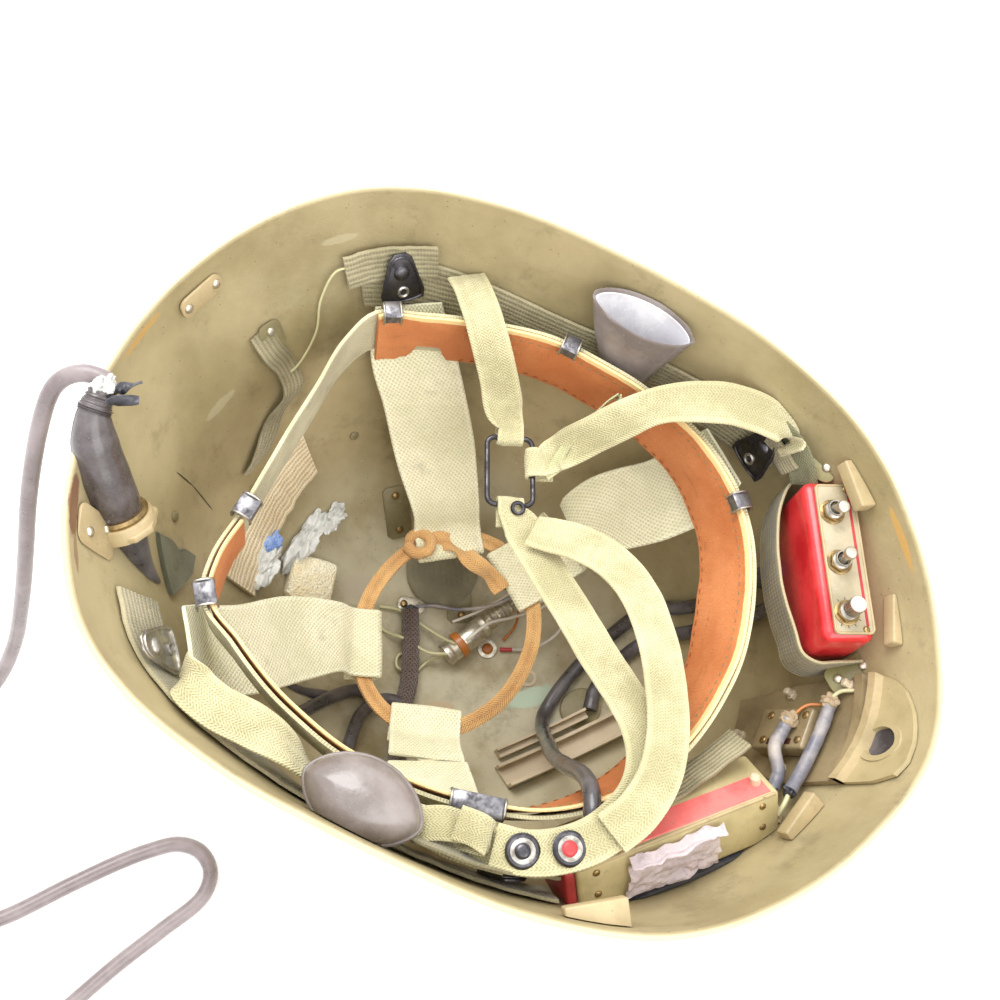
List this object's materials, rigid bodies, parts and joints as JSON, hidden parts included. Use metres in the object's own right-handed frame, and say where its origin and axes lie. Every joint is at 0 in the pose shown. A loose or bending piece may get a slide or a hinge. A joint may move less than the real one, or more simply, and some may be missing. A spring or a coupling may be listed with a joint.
{
  "type": "radio operator helmet",
  "caption": "Olive fibreglass helmet lying on its crown, with webbing cradle, leather sweatband, chin strap, built-in radio, control unit and a flexible aerial lead.",
  "frame": {"origin": "middle of the flat resting spot on the outside of the crown, with the helmet lying crown-down", "axes": "+X towards the front brim, +Y towards the wearer's right, +Z out of the head opening"},
  "size_m": [0.3695, 0.4318, 0.1982],
  "materials": {
    "shell_plastic": "satin olive-khaki, worn",
    "tan_paint": "satin",
    "olive_paint": "semi-gloss",
    "brown_olive_paint": "gloss",
    "red_paint": "gloss",
    "grey_tan_paint": "satin",
    "bare_steel": "worn",
    "black_steel": "worn gloss",
    "green_webbing": "woven cotton",
    "ribbed_webbing": "ribbed cotton",
    "pale_webbing": "chevron woven cotton",
    "orange_leather": "smooth",
    "brown_lace": "flat cotton lace",
    "ribbed_elastic": "ribbed elastic",
    "dark_rubber": "smooth",
    "black_rubber": "smooth",
    "grey_rubber": "glossy",
    "dark_braid": "braided",
    "dull_silver": "dull",
    "cream_foam": "open foam",
    "clear_film": "clear tape, crumpled"
  },
  "bodies": {
    "helmet": {"aerial_boot": "dark_rubber", "aerial_bracket": "tan_paint", "aerial_coil": "grey_rubber", "aerial_cord": "grey_rubber", "aerial_lead": "black_rubber", "aerial_tip": "black_rubber", "cable_1": "black_rubber", "cable_2": "black_rubber", "capacitor": "dull_silver", "chin_leg_front": "pale_webbing", "chin_leg_left": "pale_webbing", "chin_leg_rear": "pale_webbing", "chin_loop": "pale_webbing", "chin_ring": "black_steel", "chin_strap": "pale_webbing", "control_band": "ribbed_elastic", "control_case": "red_paint", "control_clamp_1": "tan_paint", "control_clamp_2": "tan_paint", "control_face": "grey_tan_paint", "cradle_strap_1": "green_webbing", "cradle_strap_2": "green_webbing", "cradle_strap_3": "green_webbing", "cradle_strap_4": "green_webbing", "crown_patch": "ribbed_webbing", "crown_rail": "tan_paint", "ear_cup": "dark_rubber", "ear_funnel": "dark_rubber", "foam_block": "cream_foam", "hanger_left": "ribbed_webbing", "hanger_right": "ribbed_webbing", "headband_clip_1": "bare_steel", "headband_clip_2": "bare_steel", "headband_clip_3": "bare_steel", "headband_clip_4": "bare_steel", "headband_clip_5": "bare_steel", "headband_clip_6": "bare_steel", "headband_web": "green_webbing", "junction_block": "brown_olive_paint", "junction_lead_1": "dark_rubber", "junction_lead_2": "dark_rubber", "junction_plate": "brown_olive_paint", "lace_ring": "brown_lace", "nape_strap": "ribbed_elastic", "radio_bracket": "brown_olive_paint", "radio_case": "olive_paint", "radio_clamp_1": "tan_paint", "radio_clamp_2": "tan_paint", "radio_end": "red_paint", "shell": "shell_plastic", "sleeve_lead": "dark_braid", "sweatband": "orange_leather", "tape_tag": "clear_film", "washer_front_left": "black_steel", "washer_front_right": "black_steel", "washer_rear_left": "bare_steel", "washer_rear_right": "black_steel"},
    "upper_toggle": {"upper_toggle": "bare_steel"},
    "middle_toggle": {"middle_toggle": "bare_steel"},
    "volume_knob": {"volume_knob": "bare_steel"}
  },
  "joints": [
    {"name": "upper_toggle_swing", "type": "hinge", "parent": "helmet", "child": "upper_toggle", "pos_m": [0.10354, 0.07702, 0.16895], "axis": [0.8878, 0.4602, 0], "range_deg": [-30, 0]},
    {"name": "middle_toggle_swing", "type": "hinge", "parent": "helmet", "child": "middle_toggle", "pos_m": [0.1132, 0.05837, 0.16895], "axis": [0.8878, 0.4602, 0], "range_deg": [-15, 15]},
    {"name": "volume_knob_turn", "type": "hinge", "parent": "helmet", "child": "volume_knob", "pos_m": [0.12263, 0.04017, 0.16895], "axis": [0, 0, 1], "range_deg": [-150, 150]}
  ]
}
